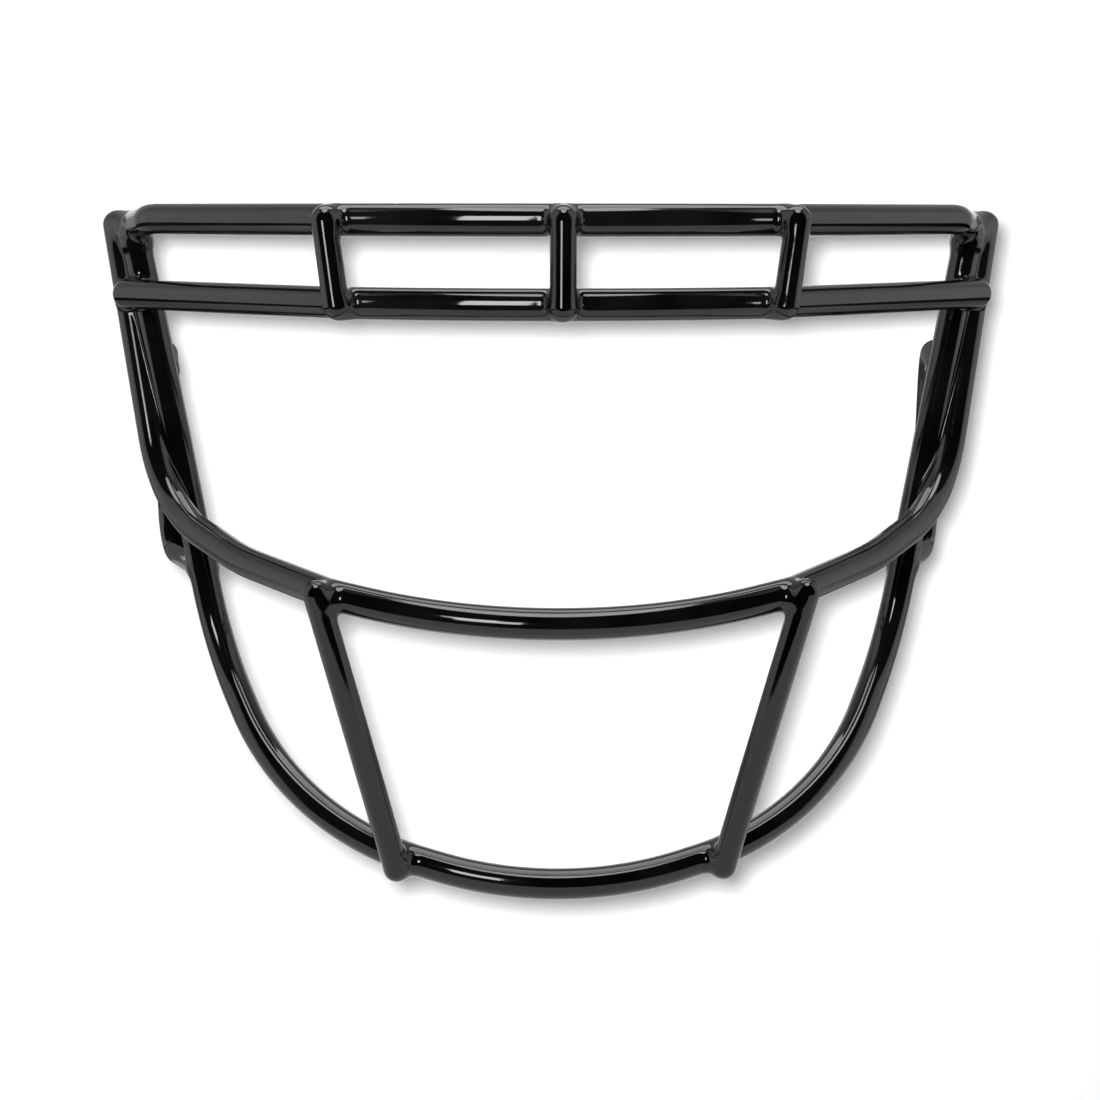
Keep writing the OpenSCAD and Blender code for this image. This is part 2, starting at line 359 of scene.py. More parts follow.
@dataclass
class Dip:
    """The liquid coat that runs together where bars meet and leaves a soft web there."""

    bars: list[CoatedBar]
    beads: list[CoatedBead]
    web: float = 2.6
    groove_web: float = 1.25
    groove_x: float = 92.0
    groove_z: Span = (-86.0, -26.0)
    groove_fade_x: float = 5.0
    groove_fade_z: float = 8.0
    fullness: float = 3.0
    look_out: float = 2.5
    dive_from: float = 0.35
    dive_to: float = 1.1
    steps: int = 9
    longest_step: float = 0.8
    least_slope: float = 0.25
    sample: float = 0.25
    fine_reach: float = 6.0

    def web_at(self, points: np.ndarray) -> np.ndarray:
        """Gives the web's reach, which is small in the long grooves between the uprights.

        Args:
            points: The points where it is wanted.

        Returns:
            The reach at each of them, in metres.
        """
        aside = ease((np.abs(points[:, 0]) / MM - self.groove_x) / self.groove_fade_x)
        height = points[:, 2] / MM
        low, high = self.groove_z
        upright = ease((height - low) / self.groove_fade_z) * ease((high - height) / self.groove_fade_z)
        return (self.web + (self.groove_web - self.web) * aside * upright) * MM

    def level(self, points: np.ndarray, web: np.ndarray, forms: Iterable[Near]) -> Pair:
        """Measures how far points are outside the flowed coat.

        Args:
            points: The points.
            web: The web's reach at each of them.
            forms: The bars and beads, each with the numbers of the points near it.

        Returns:
            The level, which is 0 on the coat, and its gradient.
        """
        total = np.zeros(len(points))
        slope = np.zeros_like(points)
        for form, near in forms:
            gap, away = form.gap(points[near])
            share = np.maximum(0.0, 1.0 - gap / web[near])
            total[near] += share**self.fullness
            slope[near] += share[:, None] ** (self.fullness - 1.0) * away
        total = np.maximum(total, LEAST)
        level = web * (1.0 - total ** (1.0 / self.fullness))
        return level, slope * total[:, None] ** (1.0 / self.fullness - 1.0)

    def flow(self, bar: CoatedBar, points: np.ndarray) -> Pair:
        """Moves a bar's skin out to the flowed coat.

        Inside another bar it dives under that bar's own skin.

        Args:
            bar: The bar whose skin it is.
            points: The skin's points on the bare tube.

        Returns:
            The moved points and their outward directions.
        """
        everywhere = np.arange(len(points))
        forms: list[Near] = [(bar, everywhere)]
        depth = np.full(len(points), -np.inf)
        for form in [b for b in self.bars if b is not bar] + list(self.beads):
            gap, _ = form.gap(points)
            near = np.nonzero(gap < (self.web + self.look_out) * MM)[0]
            if len(near):
                forms.append((form, near))
            if isinstance(form, CoatedBar):
                depth = np.maximum(depth, -gap)
        moved, web = points.copy(), self.web_at(points)
        for _ in range(self.steps):
            level, slope = self.level(moved, web, forms)
            step = level / np.maximum((slope**2).sum(1), self.least_slope)
            moved -= np.clip(step, -self.longest_step * MM, self.longest_step * MM)[:, None] * slope
        keep = 1.0 - ease((depth / MM - self.dive_from) / (self.dive_to - self.dive_from))
        moved = points + keep[:, None] * (moved - points)
        _, slope = self.level(moved, web, forms)
        return moved, slope / np.maximum(np.linalg.norm(slope, axis=1), LEAST)[:, None]

    def stations(self, bar: CoatedBar, detail: Detail) -> np.ndarray:
        """Spaces the rings along a bar: close by a joint or in a bend, wide on a free run.

        Args:
            bar: The bar.
            detail: How finely its skin is cut.

        Returns:
            The rings' lengths along the centre line.
        """
        count = int(bar.route.length / (self.sample * MM))
        along = np.linspace(0.0, bar.route.length, count)
        line = bar.route.bent(np.stack([0 * along, 0 * along, along], 1))
        clear = np.full(count, np.inf)
        for other in self.bars:
            if other is not bar:
                clear = np.minimum(clear, other.gap(line)[0] - bar.radius)
        free = ease((clear / MM - self.web) / self.fine_reach)
        spacing = detail.fine + (detail.coarse - detail.fine) * free
        start = 0.0
        for run in bar.route.runs:
            if isinstance(run, Bend):
                here = (along >= start - MM) & (along <= start + run.length + MM)
                spacing[here] = np.minimum(spacing[here], run.radius / MM * math.radians(detail.turn))
            start += run.length
        tally = np.concatenate([[0.0], np.cumsum(np.diff(along) / (spacing[:-1] * MM))])
        return np.interp(np.linspace(0.0, tally[-1], int(tally[-1]) + 2), tally, along)


@dataclass
class SkinMaker:
    """Makes each bar's skin: a straight round-ended rod, bent to its route and dipped."""

    dip: Dip
    detail: Detail = FULL

    def rod(self, bar: CoatedBar) -> bpy.types.Mesh:
        """Turns a straight rod with round ends from its outline.

        Args:
            bar: The bar that the rod is for.

        Returns:
            The rod's mesh, along Z.
        """
        at = self.dip.stations(bar, self.detail)
        r, end, rings = bar.radius, bar.route.length, self.detail.cap_rings
        lean = [math.pi / 2 * n / rings for n in range(rings)]
        outline = [(r * math.sin(a), -r * math.cos(a)) for a in lean]
        outline += [(r, float(s)) for s in at]
        outline += [(r * math.sin(a), end + r * math.cos(a)) for a in reversed(lean)]
        bm = bmesh.new()
        tip = bmesh.ops.create_vert(bm, co=(0.0, 0.0, outline[0][1]))["vert"][0]
        for here, there in zip(outline, outline[1:]):
            tip = bmesh.ops.extrude_vert_indiv(bm, verts=[tip])["verts"][0]
            bmesh.ops.translate(bm, verts=[tip], vec=(there[0] - here[0], 0.0, there[1] - here[1]))
        bmesh.ops.spin(
            bm, geom=bm.verts[:] + bm.edges[:], cent=(0, 0, 0), axis=(0, 0, 1), dvec=(0, 0, 0),
            angle=2 * math.pi, space=Matrix.Identity(4), steps=self.detail.around, use_merge=True,
            use_normal_flip=False, use_duplicate=False,
        )
        for height in (outline[0][1], outline[-1][1]):
            pole = [v for v in bm.verts if v.co.xy.length < TINY and abs(v.co.z - height) < TINY]
            bmesh.ops.pointmerge(bm, verts=pole, merge_co=(0.0, 0.0, height))
        bmesh.ops.recalc_face_normals(bm, faces=bm.faces[:])
        mesh = bpy.data.meshes.new(bar.name)
        bm.to_mesh(mesh)
        bm.free()
        return mesh

    def skin(self, bar: CoatedBar, material: bpy.types.Material) -> bpy.types.Object:
        """Makes a bar's finished skin.

        Args:
            bar: The bar.
            material: The coat.

        Returns:
            The skin, which stands for the bar's CAD coat.
        """
        mesh = self.rod(bar)
        flat = np.empty(len(mesh.vertices) * 3)
        mesh.vertices.foreach_get("co", flat)
        points, outward = self.dip.flow(bar, bar.route.bent(flat.reshape(-1, 3)))
        mesh.vertices.foreach_set("co", points.ravel())
        mesh.update()
        bm = bmesh.new()
        bm.from_mesh(mesh)
        if bm.calc_volume(signed=True) < 0:
            bmesh.ops.reverse_faces(bm, faces=bm.faces[:])
        bm.to_mesh(mesh)
        bm.free()
        mesh.shade_smooth()
        mesh.normals_split_custom_set_from_vertices([tuple(n) for n in outward])
        mesh.materials.append(material)
        piece = bpy.data.objects.new(bar.name, mesh)
        bpy.context.scene.collection.objects.link(piece)
        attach(piece, "root")
        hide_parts(bar.node)
        log.info("%s: %d faces, %.0f mm of wire", bar.name, len(mesh.polygons), bar.route.length / MM)
        return piece


# The guard's own bars


@dataclass
class BrowBars:
    """The two bowed bars across the brow."""

    steel_d: float = 5.7
    gap: float = 19.2
    rake: float = 5.5
    mid_r: float = 130.0
    inner_slope: float = 20.0
    outer_slope: float = 41.0
    kink_r: float = 10.0
    corner_r: float = 12.0
    upper_kink_x: float = 52.8
    lower_kink_x: float = 50.8
    upper_corner_x: float = 101.5
    lower_end_x: float = 111.3
    upper_end: Point = (109.3, 71.4, -8.9)

    @property
    def apex_y(self) -> float:
        """The place of the corner in the middle, before the bow is bent."""
        return -self.mid_r * (1 / math.cos(math.radians(self.inner_slope)) - 1)

    def kink_y(self, x: float) -> float:
        """The depth of a bar's kink at x."""
        return self.apex_y + x * math.tan(math.radians(self.inner_slope))

    def raked(self, x: float, y: float, drop: float) -> Point:
        """A corner at x and y on a bar that lies a drop lower and slopes to the rear."""
        return (x, y, -drop - y * math.tan(math.radians(self.rake)))

    def half(self, kink_x: float, outer_x: float, drop: float) -> list[Point]:
        """Gives a brow bar's corners in the middle, at the kink and outside.

        Args:
            kink_x: Half the width between the kinks.
            outer_x: Half the width to the outer corner.
            drop: How far the bar lies below the upper one.

        Returns:
            The corners of the right half.
        """
        outer_y = self.kink_y(kink_x) + (outer_x - kink_x) * math.tan(math.radians(self.outer_slope))
        return [
            self.raked(0.0, self.apex_y, drop),
            self.raked(kink_x, self.kink_y(kink_x), drop),
            self.raked(outer_x, outer_y, drop),
        ]

    def bars(self) -> list[CoatedBar]:
        """Lists both brow bars.

        Returns:
            The upper and the lower one.
        """
        upper = self.half(self.upper_kink_x, self.upper_corner_x, 0.0) + [self.upper_end]
        lower = self.half(self.lower_kink_x, self.lower_end_x, self.gap)
        upper_radii = (self.mid_r, self.kink_r, self.corner_r, 0.0)
        lower_radii = (self.mid_r, self.kink_r, 0.0)
        return [
            CoatedBar("upper_brow_bar", *whole(upper, upper_radii), self.steel_d),
            CoatedBar("lower_brow_bar", *whole(lower, lower_radii), self.steel_d),
        ]


@dataclass
class Ties:
    """The three short ties that stand in front of the brow bars."""

    brow: BrowBars
    steel_d: float = 4.4
    bead_r: float = 2.6
    centre_y: float = -5.1
    centre_bead_y: float = -2.6
    centre_over: float = 2.5
    centre_under: float = 1.6
    top: Point = (1.7, -4.75, 1.4)
    foot: Point = (1.0, -5.0, -2.7)
    high_bead: Point = (0.5, -2.8, -1.1)
    low_bead: Point = (0.3, -2.9, -1.0)

    def by_kinks(self, high: Point, low: Point) -> tuple[Point, Point]:
        """Places two points by their distances from the kinks of the brow bars.

        Args:
            high: The distances from the upper bar's kink.
            low: The distances from the lower bar's kink.

        Returns:
            The two places.
        """
        b = self.brow
        return (
            (b.upper_kink_x + high[0], b.kink_y(b.upper_kink_x) + high[1], high[2]),
            (b.lower_kink_x + low[0], b.kink_y(b.lower_kink_x) + low[1], low[2] - b.gap),
        )

    def bars(self) -> list[CoatedBar]:
        """Lists the centre tie and the two inner ties.

        Returns:
            The three ties.
        """
        centre = [(0.0, self.centre_y, z) for z in (self.centre_over, -self.brow.gap - self.centre_under)]
        ends = self.by_kinks(self.top, self.foot)
        made = [CoatedBar("centre_tie", centre, UNBENT, self.steel_d)]
        for side in Side:
            made.append(CoatedBar(side.name_of("tie"), [side.place(p) for p in ends], UNBENT, self.steel_d))
        return made

    def beads(self) -> list[CoatedBead]:
        """Lists the weld beads behind the ties.

        Returns:
            Two beads for each tie.
        """
        spots = [(0.0, self.centre_bead_y, z) for z in (0.0, -self.brow.gap)]
        pair = self.by_kinks(self.high_bead, self.low_bead)
        spots += [side.place(p) for side in Side for p in pair]
        return [CoatedBead(p, self.bead_r) for p in spots]


@dataclass
class LowerBars:
    """The mouth bar and the jaw bar, whose ends are the uprights at the sides."""

    steel_d: float = 5.7
    bead_r: float = 2.6
    butt_r: float = 3.4
    mouth: Sequence[Point] = (
        (0.0, -26.0, -93.5), (54.5, -3.0, -87.0), (78.5, 24.3, -86.0), (101.3, 52.2, -79.4),
        (114.2, 75.4, -7.0),
    )
    mouth_radii: Sequence[float] = (115.0, 12.0, 80.0, 32.0, 0.0)
    jaw: Sequence[Point] = (
        (0.0, -14.0, -161.2), (66.2, 10.2, -150.3), (88.2, 48.1, -115.5), (108.0, 67.9, -12.0),
    )
    jaw_radii: Sequence[float] = (79.0, 82.0, 46.0, 0.0)
    crossings: Sequence[Point] = ((107.4, 63.2, -25.1), (110.6, 66.2, -26.4))
    butts: Sequence[Point] = ((108.0, 68.1, -11.6), (110.8, 72.4, -9.3))

    def bars(self) -> list[CoatedBar]:
        """Lists the mouth bar and the jaw bar.

        Returns:
            The two bars.
        """
        return [
            CoatedBar("mouth_bar", *whole(self.mouth, self.mouth_radii), self.steel_d),
            CoatedBar("jaw_bar", *whole(self.jaw, self.jaw_radii), self.steel_d),
        ]

    def beads(self) -> list[CoatedBead]:
        """Lists the weld beads at the brow bars' ends. The web hides those between the uprights."""
        sized = [(p, self.bead_r) for p in self.crossings] + [(p, self.butt_r) for p in self.butts]
        return [CoatedBead(side.place(p), r) for side in Side for p, r in sized]


@dataclass
class ChinBars:
    """The two straight bars in front of the mouth bar and the jaw bar."""

    steel_d: float = 4.4
    top: Point = (57.8, -7.4, -83.6)
    foot: Point = (39.4, -4.6, -158.0)
    bead_r: float = 2.6
    spots: Sequence[Point] = ((55.3, -5.3, -87.5), (38.9, -2.5, -155.3))

    def bars(self) -> list[CoatedBar]:
        """Lists both chin bars.

        Returns:
            The two bars.
        """
        ends = (self.top, self.foot)
        return [
            CoatedBar(side.name_of("chin_bar"), [side.place(p) for p in ends], UNBENT, self.steel_d)
            for side in Side
        ]

    def beads(self) -> list[CoatedBead]:
        """Lists the weld beads behind the chin bars."""
        return [CoatedBead(side.place(p), self.bead_r) for side in Side for p in self.spots]


@dataclass
class SideLoops:
    """The loops at the sides, where the helmet's clips hold the guard."""

    steel_d: float = 5.7
    bend_r: float = 9.0
    corners: Sequence[Point] = (
        (102.2, 65.2, -45.5), (107.0, 98.0, -45.5), (107.0, 98.0, -102.2), (92.8, 55.2, -95.6),
    )
    butt_r: float = 3.4
    butts: Sequence[Point] = ((102.1, 64.6, -45.5), (92.6, 54.6, -95.5))

    def bars(self) -> list[CoatedBar]:
        """Lists both side loops.

        Returns:
            The two loops.
        """
        radii = (0.0, self.bend_r, self.bend_r, 0.0)
        return [
            CoatedBar(side.name_of("side_loop"), [side.place(p) for p in self.corners], radii, self.steel_d)
            for side in Side
        ]

    def beads(self) -> list[CoatedBead]:
        """Lists the weld beads at the loops' ends."""
        return [CoatedBead(side.place(p), self.butt_r) for side in Side for p in self.butts]


# Finishes


class Value:
    """A shader socket that takes part in Python sums; each sum adds a Math node."""

    def __init__(self, tree: "Tree", socket: bpy.types.NodeSocket) -> None:
        """Wraps a socket of a tree."""
        self.tree, self.socket = tree, socket

    def _sum(self, operation: str, *terms: Number) -> "Value":
        """Adds a Math node over some terms."""
        made = self.tree.add("ShaderNodeMath", {"operation": operation}, dict(enumerate(terms)))
        return Value(self.tree, made.outputs[0])

    def __add__(self, other: Number) -> "Value":
        """Adds."""
        return self._sum("ADD", self, other)

    def __radd__(self, other: Number) -> "Value":
        """Adds from the left."""
        return self._sum("ADD", other, self)

    def __sub__(self, other: Number) -> "Value":
        """Subtracts."""
        return self._sum("SUBTRACT", self, other)

    def __rsub__(self, other: Number) -> "Value":
        """Subtracts from a number."""
        return self._sum("SUBTRACT", other, self)

    def __mul__(self, other: Number) -> "Value":
        """Multiplies."""
        return self._sum("MULTIPLY", self, other)

    def __rmul__(self, other: Number) -> "Value":
        """Multiplies from the left."""
        return self._sum("MULTIPLY", other, self)

    def __neg__(self) -> "Value":
        """Turns the sign round."""
        return self._sum("MULTIPLY", self, -1.0)

    def most(self, other: Number) -> "Value":
        """Takes the larger of two."""
        return self._sum("MAXIMUM", self, other)

    def ramp(self, low: float, high: float) -> "Value":
        """Eases from 0 at low to 1 at high.

        Args:
            low: Where the ramp starts.
            high: Where it ends.

        Returns:
            The eased value.
        """
        made = self.tree.add(
            "ShaderNodeMapRange", {"interpolation_type": "SMOOTHSTEP"},
            {"Value": self, "From Min": low, "From Max": high},
        )
        return Value(self.tree, made.outputs["Result"])


class Tree:
    """A material's or the world's node tree."""

    def __init__(self, owner: Union[bpy.types.Material, bpy.types.World]) -> None:
        """Empties the owner's tree and keeps it.

        Args:
            owner: The material or the world.
        """
        owner.use_nodes = True
        self.nodes, self.links = owner.node_tree.nodes, owner.node_tree.links
        self.nodes.clear()

    def add(self, kind: str, settings: dict[str, object], sockets: dict[Key, object]) -> bpy.types.Node:
        """Adds a node.

        Args:
            kind: The node's type.
            settings: Its settings, which are set first.
            sockets: A value, a Value or an output for each named or numbered input.

        Returns:
            The node.
        """
        node = self.nodes.new(kind)
        for key, value in settings.items():
            setattr(node, key, value)
        for key, value in sockets.items():
            if isinstance(value, Value):
                self.links.new(value.socket, node.inputs[key])
            elif isinstance(value, bpy.types.NodeSocket):
                self.links.new(value, node.inputs[key])
            else:
                node.inputs[key].default_value = value
        return node

    def value(self, node: bpy.types.Node, output: str) -> Value:
        """Wraps a node's output."""
        return Value(self, node.outputs[output])

    def place(self) -> bpy.types.NodeSocket:
        """Gives the object's own coordinates, in metres."""
        return self.add("ShaderNodeTexCoord", {}, {}).outputs["Object"]

    def noise(self, size: float, detail: float, rough: float = 0.5) -> Value:
        """Makes noise in the object's coordinates.

        Args:
            size: The size of its lumps, in millimetres.
            detail: How many finer layers it has.
            rough: How strong each finer layer is.

        Returns:
            The noise, round 0.5.
        """
        sockets = {"Vector": self.place(), "Scale": 1 / (size * MM), "Detail": detail, "Roughness": rough}
        return self.value(self.add("ShaderNodeTexNoise", {"noise_dimensions": "3D"}, sockets), "Fac")

    def blend(self, share: Number, low: Colour, high: Colour) -> bpy.types.NodeSocket:
        """Mixes two colours."""
        node = self.add("ShaderNodeMix", {"data_type": "RGBA"}, {0: share, 6: low, 7: high})
        return node.outputs[2]

    def bump(self, height: Value) -> bpy.types.NodeSocket:
        """Turns a height in millimetres into a bumped normal."""
        return self.add("ShaderNodeBump", {}, {"Strength": 1.0, "Distance": MM, "Height": height}).outputs[0]

    def surface(self, shader: bpy.types.NodeSocket) -> None:
        """Ends the tree in a shader."""
        of_world = shader.node.bl_idname == "ShaderNodeBackground"
        self.add("ShaderNodeOutputWorld" if of_world else "ShaderNodeOutputMaterial", {}, {"Surface": shader})

    def glow(self, colour: Union[Colour, bpy.types.NodeSocket]) -> None:
        """Ends the tree in light of a colour."""
        self.surface(self.add("ShaderNodeEmission", {}, {"Color": colour, "Strength": 1.0}).outputs[0])


@dataclass(frozen=True)
class BlackDip:
    """The glossy black coat: it sags a little as it cures, with a fine peel and a few specks."""

    deep: Colour = (0.0035, 0.0036, 0.0040, 1.0)
    thin: Colour = (0.0090, 0.0091, 0.0096, 1.0)
    ior: float = 1.5
    gloss: float = 0.055
    haze: float = 0.085
    cloud_size: float = 17.0
    cloud_tint: Span = (0.3, 0.7)
    cloud_haze: Span = (0.35, 0.75)
    sag_size: float = 11.0
    sag_mm: float = 0.030
    run_size: float = 4.2
    run_mm: float = 0.0105
    peel_size: float = 1.5
    peel_mm: float = 0.0035
    speck_gap: float = 7.0
    speck_pick: Span = (0.80, 0.82)
    speck_r: float = 0.035
    speck_mm: float = 0.010
    speck_haze: float = 0.15
    wipe_size: float = 2.4
    wipe_pick: Span = (0.56, 0.74)
    wipe_haze: float = 0.035

    def material(self) -> bpy.types.Material:
        """Makes the coat's material.

        Returns:
            The material.
        """
        made = bpy.data.materials.new("black_dip_coat")
        t = Tree(made)
        sag, run, peel = t.noise(self.sag_size, 1.0), t.noise(self.run_size, 1.0), t.noise(self.peel_size, 1.5)
        cloud = t.noise(self.cloud_size, 2.0)
        where = {"Vector": t.place(), "Scale": 1 / (self.speck_gap * MM)}
        cells = t.add("ShaderNodeTexVoronoi", {"feature": "F1"}, where)
        cell = t.value(t.add("ShaderNodeSeparateColor", {}, {0: cells.outputs["Color"]}), "Red")
        speck = (1.0 - t.value(cells, "Distance").ramp(0.0, self.speck_r)) * cell.ramp(*self.speck_pick)
        height = sag * self.sag_mm + run * self.run_mm + peel * self.peel_mm + speck * self.speck_mm
        rough = self.gloss + cloud.ramp(*self.cloud_haze) * (self.haze - self.gloss)
        wipe = t.noise(self.wipe_size, 3.0, 0.65).ramp(*self.wipe_pick)
        shader = t.add("ShaderNodeBsdfPrincipled", {}, {
            "Base Color": t.blend(cloud.ramp(*self.cloud_tint), self.deep, self.thin),
            "Roughness": rough + wipe * self.wipe_haze + speck * self.speck_haze,
            "IOR": self.ior,
            "Normal": t.bump(height),
        })
        t.surface(shader.outputs[0])
        return made


@dataclass(frozen=True)
class BareMetal:
    """A metal that the coat hides. Its cloud and its grain are noise, each of a size and a detail."""

    name: str
    low: Colour
    high: Colour
    cloud: Span
    cloud_pick: Span
    grain: Span
    grain_mm: float
    grain_haze: float
    gloss: float
    metal: float

    def material(self) -> bpy.types.Material:
        """Makes the metal's material.

        Returns:
            The material.
        """
        made = bpy.data.materials.new(self.name)
        t = Tree(made)
        cloud, grain = t.noise(*self.cloud), t.noise(*self.grain)
        shader = t.add("ShaderNodeBsdfPrincipled", {}, {
            "Base Color": t.blend(cloud.ramp(*self.cloud_pick), self.low, self.high),
            "Metallic": self.metal,
            "Roughness": self.gloss + grain * self.grain_haze,
            "Normal": t.bump(grain * self.grain_mm),
        })
        t.surface(shader.outputs[0])
        return made


@dataclass(frozen=True)
class DrawnSteel(BareMetal):
    """The bare drawn wire under the coat."""

    name: str = "drawn_steel_wire"
    low: Colour = (0.56, 0.56, 0.55, 1.0)
    high: Colour = (0.36, 0.35, 0.34, 1.0)
    cloud: Span = (6.0, 3.0)
    cloud_pick: Span = (0.3, 0.75)
    grain: Span = (0.25, 2.0)
    grain_mm: float = 0.004
    grain_haze: float = 0.14
    gloss: float = 0.28
    metal: float = 1.0


@dataclass(frozen=True)
class WeldFlash(BareMetal):
    """The steel that squeezes out of a resistance weld, with its heat tint."""

    name: str = "weld_flash"
    low: Colour = (0.30, 0.22, 0.13, 1.0)
    high: Colour = (0.10, 0.12, 0.18, 1.0)
    cloud: Span = (1.8, 2.0)
    cloud_pick: Span = (0.35, 0.65)
    grain: Span = (0.5, 3.0)
    grain_mm: float = 0.03
    grain_haze: float = 0.25
    gloss: float = 0.35
    metal: float = 0.9


# The studio


def light_only(lamp: bpy.types.Object, lit: Iterable[bpy.types.Object]) -> None:
    """Puts a lamp in the scene that lights some objects only.

    Args:
        lamp: The lamp.
        lit: The objects.
    """
    bpy.context.scene.collection.objects.link(lamp)
    linked = bpy.data.collections.new("lit_by_" + lamp.name)
    for one in lit:
        linked.objects.link(one)
    lamp.light_linking.receiver_collection = linked


BROWS = ("upper_brow_bar", "lower_brow_bar")
TIES = ("centre_tie", "left_tie", "right_tie")


@dataclass(frozen=True)
class SoftBox:
    """A soft box that some bars mirror, by where it stands round a point, in degrees."""

    name: str
    seen_from: Point
    turn: float
    rise: float
    wide: float
    tall: float
    strength: float
    bars: tuple[str, ...]
    distance: float = 15000.0

    def lamp(self, pieces: dict[str, bpy.types.Object]) -> None:
        """Makes the soft box and links it to the bars that mirror it.

        Args:
            pieces: The bars' skins by name.
        """
        a, e = math.radians(self.turn), math.radians(self.rise)
        away = Vector((math.sin(a) * math.cos(e), -math.cos(a) * math.cos(e), math.sin(e)))
        data = bpy.data.lights.new(self.name, "AREA")
        data.shape = "RECTANGLE"
        data.size, data.size_y = (
            2 * self.distance * MM * math.tan(math.radians(span / 2)) for span in (self.wide, self.tall)
        )
        data.energy = self.strength * math.pi * data.size * data.size_y
        made = bpy.data.objects.new(self.name, data)
        spot = Matrix.Translation((Vector(self.seen_from) + away * self.distance) * MM)
        made.matrix_world = spot @ away.to_track_quat("Z", "Y").to_matrix().to_4x4()
        made.visible_camera = False
        light_only(made, [pieces[bar] for bar in self.bars])


SOFT_BOXES = (
    SoftBox(
        "brow_box", (-13.0, -4.0, -10.0), turn=-13.5, rise=18.0, wide=16.0, tall=28.0, strength=13.0,
        bars=BROWS,
    ),
    SoftBox(
        "mouth_box", (-13.0, -25.0, -93.0), turn=-15.0, rise=15.0, wide=15.0, tall=14.0, strength=11.0,
        bars=("mouth_bar",),
    ),
    SoftBox(
        "jaw_box", (-20.0, -13.0, -160.0), turn=-22.0, rise=28.5, wide=12.8, tall=15.0, strength=12.5,
        bars=("jaw_bar",),
    ),
    SoftBox(
        "upright_box", (-107.0, 63.0, -40.0), turn=-18.5, rise=22.0, wide=12.0, tall=9.0, strength=8.0,
        bars=("mouth_bar",),
    ),
    SoftBox(
        "tie_box", (-20.0, -5.0, -10.0), turn=-18.0, rise=-4.1, wide=13.0, tall=10.0, strength=10.0,
        bars=TIES,
    ),
    SoftBox(
        "left_spot_box", (-53.0, 10.0, -10.0), turn=-46.0, rise=15.0, wide=4.0, tall=14.0, strength=7.0,
        bars=BROWS,
    ),
    SoftBox(
        "right_spot_box", (53.0, 10.0, -10.0), turn=48.0, rise=6.0, wide=4.0, tall=12.0, strength=7.0,
        bars=BROWS,
    ),
)


@dataclass
class Tent:
    """The light tent that the gloss shows: a bright top and pale sides, with a dark front.

    The angles are in degrees: off to the side from the front, and up from the level.
    """

    plain: float = 0.26
    top: float = 7.0
    rear_top: float = 3.8
    top_fade: Span = (100.0, 150.0)
    edge: float = 67.0
    edge_rise: float = 0.09
    edge_soft: float = 1.5
    rear_drop: float = 34.0
    drop_fade: Span = (115.0, 145.0)
    sides: float = 1.15
    rear_sides: float = 0.55
    rear_fade: Span = (95.0, 125.0)
    side_fade: Span = (62.0, 71.0)
    side_foot: float = -17.0
    foot_soft: float = 2.0
    head_fade: Span = (55.0, 65.0)
    head_loss: float = 0.7

    def glow(self, t: Tree) -> Value:
        """Works out how bright the tent is in each direction.

        Args:
            t: The world's tree.

        Returns:
            The brightness.
        """
        way = t.add("ShaderNodeTexCoord", {}, {}).outputs["Generated"]
        split = t.add("ShaderNodeSeparateXYZ", {}, {0: way})
        x, y, z = (t.value(split, axis) for axis in "XYZ")
        degrees = 180 / math.pi
        rise = t.value(t.add("ShaderNodeMath", {"operation": "ARCSINE"}, {0: z}), "Value") * degrees
        turn = t.value(t.add("ShaderNodeMath", {"operation": "ARCTAN2"}, {0: x, 1: -y}), "Value") * degrees
        off = turn.most(-turn)
        edge = self.edge + off * self.edge_rise - off.ramp(*self.drop_fade) * self.rear_drop
        level = self.top + off.ramp(*self.top_fade) * (self.rear_top - self.top)
        top = (rise - edge).ramp(-self.edge_soft, self.edge_soft) * level
        foot = (rise - self.side_foot).ramp(-self.foot_soft, self.foot_soft)
        side = off.ramp(*self.side_fade) * foot * (1.0 - rise.ramp(*self.head_fade) * self.head_loss)
        return (side * (self.sides + off.ramp(*self.rear_fade) * (self.rear_sides - self.sides))).most(top)

    def world(self) -> bpy.types.World:
        """Makes the world: white to the camera, the tent to the gloss, plain light to the rest.

        Returns:
            The world.
        """
        made = bpy.data.worlds.new("light_tent")
        t = Tree(made)
        rays = t.add("ShaderNodeLightPath", {}, {})
        camera = t.value(rays, "Is Camera Ray")
        shiny = t.value(rays, "Is Glossy Ray").most(t.value(rays, "Is Transmission Ray"))
        light = self.plain * (1.0 - camera.most(shiny)) + camera + shiny * self.glow(t) * (1.0 - camera)
        t.surface(t.add("ShaderNodeBackground", {}, {"Color": grey(1.0), "Strength": light}).outputs[0])
        return made


def gloss_card(name: str, wide: float, deep: float, place: Matrix, face: bpy.types.Material) -> None:
    """Makes a flat card that only the gloss shows; its glowing face paints a reflection.

    Args:
        name: The card's name.
        wide: Its width, in millimetres.
        deep: Its depth, in millimetres.
        place: Where it stands and how it is turned.
        face: Its material.
    """
    bm = bmesh.new()
    spread = Matrix.Diagonal((wide * MM, deep * MM, 1.0, 1.0))
    bmesh.ops.create_grid(bm, x_segments=1, y_segments=1, size=0.5, matrix=place @ spread)
    mesh = bpy.data.meshes.new(name)
    bm.to_mesh(mesh)
    bm.free()
    mesh.materials.append(face)
    made = bpy.data.objects.new(name, mesh)
    made.visible_camera = made.visible_diffuse = made.visible_shadow = False
    bpy.context.scene.collection.objects.link(made)


